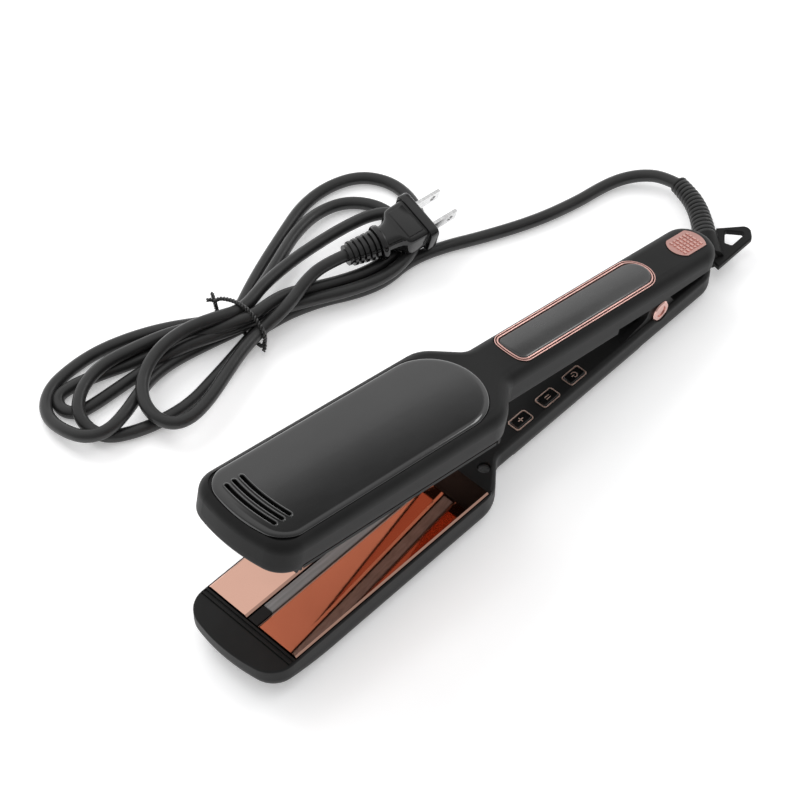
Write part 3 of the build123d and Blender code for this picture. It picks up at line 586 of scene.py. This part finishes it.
def plan_line(plan, inset):
    """Closed line inside a long plan: bowed front, round front corners, half-round rear."""
    front, rear, whole, corner, bow = plan
    front, rear, half, corner = front - inset, rear + inset, whole - inset, max(corner - inset, 0.2)
    straight = half - corner
    nose = []
    for step in range(9):
        angle = math.radians(-90 + 90 * step / 8)
        nose.append((front - corner + corner * math.cos(angle), -straight + corner * math.sin(angle)))
    nose += [(front, straight * step / 6) for step in range(-5, 6)]
    for step in range(9):
        angle = math.radians(90 * step / 8)
        nose.append((front - corner + corner * math.cos(angle), straight + corner * math.sin(angle)))
    nose = [(x - bow * (y / whole) ** 2, y) for x, y in nose]
    side_front, side_rear = nose[-1][0], rear + half
    side = [(side_front + (side_rear - side_front) * step / SIDE_STEPS, half)
            for step in range(1, SIDE_STEPS)]
    tail = []
    for step in range(25):
        angle = math.radians(90 + 180 * step / 24)
        tail.append((side_rear + half * math.cos(angle), half * math.sin(angle)))
    back = [(x, -y) for x, y in reversed(side)]
    return nose + side + tail + back


def make_trim():
    """Two rose beads with a dark groove between them, round the grip pad."""
    beads = []
    for inset, radius in TRIM_BEADS:
        line = [(x, y, TRIM_Z) for x, y in plan_line(TRIM_PLAN, inset)]
        beads.append(tube(line, lambda share, r=radius: r, 12, closed=True))
    piece = new_piece("trim_beads", *join(*beads), ROSE, "upper_arm", "rose_metal", UPPER_PLACE)
    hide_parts("trim_ring")


def pillow(plan, base, edge, rise, crown, edge_round):
    """A cushion-shaped plate: a rounded edge, then a crown across its width. Arm space."""
    half = plan[2]
    insets = [edge_round * share ** 2 for share in (0, 0.2, 0.3, 0.4, 0.5, 0.6, 0.7, 0.8, 0.9, 1)]
    insets += [edge_round + (half - 0.3 - edge_round) * step / 8 for step in range(1, 9)]
    rings = [[(x, y, -base) for x, y in plan_line(plan, 0.0)]]
    for inset in insets:
        left = max(0.0, 1 - inset / edge_round)
        lift = edge + rise * (1 - left ** 2.4) ** (1 / 2.4)
        rings.append([(x, y, -lift - crown * (1 - (y / half) ** 2))
                      for x, y in plan_line(plan, inset)])
    return rings_to_mesh(rings)


def slot_line(x, half, width):
    """Closed outline of a bowed vent slot with round ends."""
    bow_r = VENT_BOW_R
    centre = x - bow_r
    reach = math.asin(half / bow_r)
    line = []
    for step in range(25):
        angle = reach * (2 * step / 24 - 1)
        line.append((centre + (bow_r + width / 2) * math.cos(angle),
                     (bow_r + width / 2) * math.sin(angle)))
    for step in range(1, 6):
        turn = reach + math.pi * step / 6
        line.append((centre + bow_r * math.cos(reach) + width / 2 * math.cos(turn),
                     bow_r * math.sin(reach) + width / 2 * math.sin(turn)))
    for step in range(25):
        angle = reach * (1 - 2 * step / 24)
        line.append((centre + (bow_r - width / 2) * math.cos(angle),
                     (bow_r - width / 2) * math.sin(angle)))
    for step in range(1, 6):
        turn = math.pi - reach + math.pi * step / 6
        line.append((centre + bow_r * math.cos(reach) + width / 2 * math.cos(turn),
                     -bow_r * math.sin(reach) + width / 2 * math.sin(turn)))
    return line


def cut(piece, cutter):
    """Take one mesh out of another and keep the result as plain mesh."""
    boolean = piece.modifiers.new("cut", "BOOLEAN")
    boolean.operation = "DIFFERENCE"
    boolean.solver = "EXACT"
    boolean.object = cutter
    bpy.context.view_layer.update()
    depsgraph = bpy.context.evaluated_depsgraph_get()
    result = bpy.data.meshes.new_from_object(piece.evaluated_get(depsgraph))
    piece.modifiers.remove(boolean)
    piece.data = result
    bpy.data.objects.remove(cutter)


def make_panel():
    """The glossy pillow-shaped panel with three vent slots and their raised rims."""
    verts, faces = pillow(PANEL_PLAN, base=16.9, edge=17.2, rise=1.45, crown=0.85, edge_round=3.2)
    piece = new_piece("panel_gloss", verts, faces, GLOSS, "upper_arm", "black_gloss", UPPER_PLACE)
    surface = BVHTree.FromPolygons(verts, faces)
    rims = []
    holes = []
    for x in VENT_XS:
        outline = slot_line(x, VENT_HALF, VENT_WIDE)
        holes.append(rings_to_mesh([[(px, py, z) for px, py in outline] for z in (-16.0, -22.0)]))
        rim = [surface.ray_cast((px, py, -30), (0, 0, 1))[0] for px, py in outline]
        rims.append(tube(rim, lambda share: VENT_RIM_R, 8, closed=True))
    cut(piece, mesh_object("slots", *join(*holes), UPPER_PLACE))
    finish_mesh(piece, GLOSS)
    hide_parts("upper_back_panel")
    new_piece("vent_rims", *join(*rims), GLOSS, "upper_arm", "black_gloss", UPPER_PLACE)


def make_pad():
    """The satin cushion inside the trim."""
    verts, faces = pillow(PAD_PLAN, base=16.5, edge=17.5, rise=0.6, crown=0.75, edge_round=1.2)
    piece = new_piece("pad_cushion", verts, faces, PAD, "upper_arm", "grey_pad", UPPER_PLACE)
    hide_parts("upper_grip_pad")


def make_badge_relief():
    """Rows of small raised dashes on the badge, in place of lettering. They say nothing."""
    marks = []
    lengths = (1.7, 1.1, 2.0, 1.3, 1.6)
    for row in range(6):
        x = -111.6 - 2.35 * row
        y = -5.0
        for k in range(6):
            long = lengths[(row * 2 + k) % len(lengths)]
            if y + long > 5.1:
                break
            marks.append(bar((x, y + long / 2, -18.50), (1.25, long, 0.50)))
            y += long + 0.42
    new_piece("badge_dashes", *join(*marks), ROSE, "upper_arm", "rose_metal", UPPER_PLACE)


def ring_arc(x, y, radius, width, start, end, z, high):
    """A flat ring or part of one, as a raised mark."""
    steps = 24
    rings = []
    for step in range(steps + 1):
        angle = math.radians(start + (end - start) * step / steps)
        c, n = math.cos(angle), math.sin(angle)
        inner, outer = radius - width / 2, radius + width / 2
        rings.append([(x + inner * c, y + inner * n, z), (x + outer * c, y + outer * n, z),
                      (x + outer * c, y + outer * n, z - high),
                      (x + inner * c, y + inner * n, z - high)])
    return rings_to_mesh(rings)


def mark_bar(x, y, long, wide):
    """One low bar on a key."""
    return bar((x, y, MARK_Z), (long, wide, -MARK_HIGH), MARK_EDGE)


def make_button_marks():
    """A plus, two bars and a power sign on the three keys."""
    y = KEY_Y
    marks = {
        "plus": [mark_bar(PLUS_X, y, 3.0, 0.5), mark_bar(PLUS_X, y, 0.5, 2.6)],
        "minus": [mark_bar(MINUS_X, y - 0.6, 2.8, 0.45), mark_bar(MINUS_X, y + 0.6, 2.8, 0.45)],
        "power": [ring_arc(POWER_X, y, radius=1.3, width=0.42, start=50, end=310, z=MARK_Z,
                           high=-0.08),
                  mark_bar(POWER_X + 0.8, y, 1.6, 0.42)],
    }
    for name, shapes in marks.items():
        # The key marks take the paler rose copy, which is painted light.
        new_piece(f"{name}_mark", *join(*shapes), BEZEL_PAINTED_LIGHT, f"{name}_key", "rose_metal", LOWER_PLACE)


# ---- Lead fittings ------------------------------------------------------------------------------
RELIEF = [(-145.2, -5.3, 9.5), (-146.0, -6.3, 9.5), (-152.3, -13.3, 9.4), (-158.3, -20.8, 9.2),
          (-162.9, -29.2, 8.8), (-165.6, -38.0, 8.2)]


def ribbed(share, root, end, ribs, depth):
    """Radius of a ribbed taper: round-topped ribs with narrow valleys."""
    taper = root + (end - root) * share
    wave = abs(math.cos(math.pi * ribs * share))
    return taper - depth * (1 - wave ** 0.45)


def make_relief():
    """The ribbed sleeve over the lead's first stretch."""
    ribs = 16
    line = smooth_line(RELIEF, ribs * 10)
    verts, faces = tube(line, lambda share: ribbed(share, 5.6, 4.4, ribs, 0.95), 28)
    piece = new_piece("relief_ribs", verts, faces, CORD, "cord_swivel", "cord_jacket")
    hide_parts("strain_relief")
    return piece


PLUG_PLACE = (Matrix.Translation(Vector((-59.2, -103.8, 18.2)) * MM)
              @ Matrix.Rotation(math.radians(173.0), 4, "Z")
              @ Matrix.Rotation(math.radians(14.6), 4, "X"))


def rounded_ring(x, wide, high, corner):
    """Rounded rectangle across the plug's axis."""
    ring = []
    steps = 6
    for cy, cz, start in ((1, 1, 0), (-1, 1, 90), (-1, -1, 180), (1, -1, 270)):
        for step in range(steps + 1):
            angle = math.radians(start + 90 * step / steps)
            ring.append((x, cy * (wide / 2 - corner) + corner * math.cos(angle),
                         cz * (high / 2 - corner) + corner * math.sin(angle)))
    return ring


def make_plug():
    """Glossy plug: thick face flange, shouldered body with a raised panel, neck."""
    flange = rings_to_mesh([rounded_ring(x, w, h, c) for x, w, h, c in (
        (0.0, 24.6, 13.6, 2.6), (-0.35, 25.6, 14.6, 3.0), (-0.9, 26.0, 15.0, 3.1),
        (-4.2, 26.0, 15.0, 3.1), (-4.65, 25.6, 14.6, 3.0), (-4.8, 25.0, 14.0, 2.8))])
    body = rings_to_mesh([rounded_ring(x, w, h, c) for x, w, h, c in (
        (-4.7, 21.4, 13.4, 2.2), (-5.4, 21.6, 13.2, 2.2), (-9.0, 21.4, 13.1, 2.3),
        (-13.2, 21.0, 13.0, 2.4), (-14.6, 20.2, 12.8, 2.8), (-15.6, 18.4, 12.4, 3.4),
        (-16.6, 15.6, 12.0, 4.2), (-18.5, 13.8, 11.6, 4.6), (-21.0, 13.0, 11.4, 4.8),
        (-24.6, 12.6, 11.2, 4.8))])
    panels = []
    for side in (-1, 1):
        rings = [[(x, side_y, side * z) for x, side_y in ((x0, -w), (x1, -w), (x1, w), (x0, w))]
                 for x0, x1, w, z in ((-6.0, -14.4, 8.0, 6.2), (-6.2, -14.2, 7.8, 6.85),
                                      (-6.6, -13.8, 7.4, 7.0))]
        panels.append(rings_to_mesh(rings))
        line = [[(x, y, side * z) for x, y in ((-5.1, -9.4), (-5.7, -9.4), (-5.7, 9.4), (-5.1, 9.4))]
                for z in (6.0, 6.95)]
        panels.append(rings_to_mesh(line))
    piece = new_piece("plug_shell", *join(flange, body, *panels), PLUG, "lower_arm", "black_gloss",
                      PLUG_PLACE)
    soften(piece, 0.00035)
    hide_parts("plug_body")
    return piece


def soften(piece, width):
    """A small bevel on hard edges."""
    bevel = piece.modifiers.new("edges", "BEVEL")
    bevel.width = width
    bevel.segments = 2
    bevel.limit_method = "ANGLE"
    bevel.angle_limit = math.radians(40)


BOOT_COLLAR, BOOT_PITCH, BOOT_END = 3.4, 2.7, 1.2   # how long the collar, a rib and the end are


def boot_radius(share, long):
    """Radius of the boot: wide collar, ribs with gaps, end ring."""
    at = share * long
    past = at - BOOT_COLLAR
    if past < 0:
        return 7.4 + 1.2 * math.sqrt(max(0.0, 1 - (2 * at / BOOT_COLLAR - 1) ** 2))
    if at > long - BOOT_END:
        return 5.0
    on_rib = 0.30 < (past / BOOT_PITCH) % 1.0 < 0.90
    return 7.1 - 0.09 * past if on_rib else 5.2 - 0.05 * past


def make_boot():
    """The ribbed boot behind the plug."""
    start, end = Vector((-22.4, 0, 0)), Vector((-41.0, 3.4, -0.6))
    long = (end - start).length
    steps = 120
    line = [start.lerp(end, step / steps) for step in range(steps + 1)]
    verts, faces = tube(line, lambda share: boot_radius(share, long), 32, flat=0.86)
    piece = new_piece("plug_boot_ribs", verts, faces, PLUG, "lower_arm", "black_gloss", PLUG_PLACE)
    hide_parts("plug_boot")
    return piece


def twisted_pair(points, radius, pitch):
    """Two strands wound round each other along a line."""
    line = [Vector(p) for p in points]
    strands = []
    for start in (0.0, math.pi):
        run = 0.0
        strand = []
        for i, (point, (_, side, up)) in enumerate(zip(line, frames_along(line))):
            if i:
                run += (line[i] - line[i - 1]).length
            angle = start + 2 * math.pi * run / pitch
            strand.append(point + (side * math.cos(angle) + up * math.sin(angle)) * radius * 0.95)
        strands.append(tube(strand, lambda share: radius, 8))
    return join(*strands)


def make_tie():
    """The twisted wire round the hank's waist, with two loose ends."""
    around = [(38.0, -138.0, 14.0), (37.0, -137.0, 15.5), (35.5, -134.0, 16.6), (34.0, -129.0, 17.5),
              (33.2, -122.0, 17.4), (33.5, -116.5, 15.0), (34.5, -110.2, 12.0), (35.0, -109.4, 7.0),
              (35.5, -110.5, 2.6), (35.0, -114.0, 1.25), (34.5, -122.0, 1.2), (35.0, -130.0, 1.2),
              (36.0, -135.5, 1.5), (37.0, -137.8, 4.0), (37.5, -138.2, 9.0), (38.0, -138.2, 13.0)]
    parts = [twisted_pair(smooth_line(around, 260), 0.55, 3.2)]
    for end in ([(38.0, -138.0, 13.5), (38.4, -139.8, 14.4), (40.0, -141.2, 13.6)],
                [(38.0, -138.0, 13.5), (37.2, -140.0, 15.0), (36.0, -141.8, 14.6)],
                [(34.8, -110.0, 5.0), (35.6, -108.6, 4.4), (37.6, -108.0, 3.6)]):
        parts.append(twisted_pair(smooth_line(end, 40), 0.5, 2.6))
    piece = new_piece("tie_wire", *join(*parts), TIE, "lower_arm", "tie_paper")
    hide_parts("twist_tie")
    return piece


# ---- Studio -----------------------------------------------------------------------------------
FLOOR_HALF = 6.0
FLOOR_Z = -0.0002                   # just under the part, so that the two do not flicker
AIM = (0.02, -0.03, 0)              # what the soft boxes point at


def look_at(thing, target):
    """Aim a camera or light at a point."""
    thing.rotation_euler = (Vector(target) - thing.location).to_track_quat("-Z", "Y").to_euler()


def make_camera():
    """The camera at the photograph's angle: long lens, high, from the tip's button side."""
    data = bpy.data.cameras.new("camera")
    data.lens = 108.0
    data.sensor_width = 36.0
    camera = bpy.data.objects.new("camera", data)
    bpy.context.scene.collection.objects.link(camera)
    target = Vector((15.3, -45.7, 2.0)) * MM
    azimuth, height, distance = math.radians(43.69), math.radians(50.35), 1.0476
    camera.location = target + distance * Vector((math.cos(height) * math.cos(azimuth),
                                                  math.cos(height) * math.sin(azimuth),
                                                  math.sin(height)))
    look_at(camera, target)
    bpy.context.scene.camera = camera


def area_light(name, place, target, size, power, mirrored=False):
    """A soft box."""
    data = bpy.data.lights.new(name, "AREA")
    data.shape = "RECTANGLE"
    data.size, data.size_y = size
    data.energy = power
    light = bpy.data.objects.new(name, data)
    light.location = place
    light.visible_glossy = mirrored
    look_at(light, target)
    bpy.context.scene.collection.objects.link(light)


def facing(tree, where, azimuth, height, near, far, low, high):
    """Shader value that runs from high to low with the angle from a direction, in degrees."""
    azimuth, height = math.radians(azimuth), math.radians(height)
    toward = tree.nodes.new("ShaderNodeVectorMath")
    toward.operation = "DOT_PRODUCT"
    toward.inputs[1].default_value = (math.cos(height) * math.cos(azimuth),
                                      math.cos(height) * math.sin(azimuth), math.sin(height))
    tree.links.new(where.outputs["Generated"], toward.inputs[0])
    shade = tree.nodes.new("ShaderNodeMapRange")
    shade.interpolation_type = "SMOOTHSTEP"
    shade.inputs["From Min"].default_value = math.cos(math.radians(far))
    shade.inputs["From Max"].default_value = math.cos(math.radians(near))
    shade.inputs["To Min"].default_value = low
    shade.inputs["To Max"].default_value = high
    tree.links.new(toward.outputs["Value"], shade.inputs["Value"])
    return shade.outputs["Result"]


def make_surround():
    """Studio walls, brightest on the lead's side, with a soft dark patch for gloss to mirror."""
    world = bpy.data.worlds.new("studio")
    bpy.context.scene.world = world
    world.use_nodes = True
    tree = world.node_tree
    background = tree.nodes["Background"]
    background.inputs["Color"].default_value = (1, 1, 1, 1)
    where = tree.nodes.new("ShaderNodeTexCoord")
    wall = facing(tree, where, azimuth=240, height=30, near=35, far=100, low=0.42, high=0.95)
    patch = facing(tree, where, azimuth=203, height=40, near=3, far=14, low=1.0, high=0.25)
    product = tree.nodes.new("ShaderNodeMath")
    product.operation = "MULTIPLY"
    tree.links.new(wall, product.inputs[0])
    tree.links.new(patch, product.inputs[1])
    tree.links.new(product.outputs["Value"], background.inputs["Strength"])


def make_studio():
    """Pale floor, bright surround and soft boxes."""
    mesh = bpy.data.meshes.new("floor")
    mesh.from_pydata([(x * FLOOR_HALF, y * FLOOR_HALF, FLOOR_Z)
                      for x, y in ((-1, -1), (1, -1), (1, 1), (-1, 1))], [], [(0, 1, 2, 3)])
    floor = bpy.data.objects.new("floor", mesh)
    bpy.context.scene.collection.objects.link(floor)
    floor.data.materials.append(FLOOR)
    make_surround()
    area_light("key", (-0.10, -1.05, 1.00), AIM, (0.8, 0.8), 6.5)
    area_light("top", (0.25, 0.10, 1.5), AIM, (1.2, 1.2), 4)
    area_light("strip", (-1.15, 0.22, 0.85), AIM, (0.5, 0.16), 1.0, mirrored=True)
    bpy.context.scene.view_settings.view_transform = "Standard"


dress_nodes()
make_cord()
make_panel()
make_trim()
make_pad()
make_badge_relief()
make_button_marks()
make_camera()
make_studio()
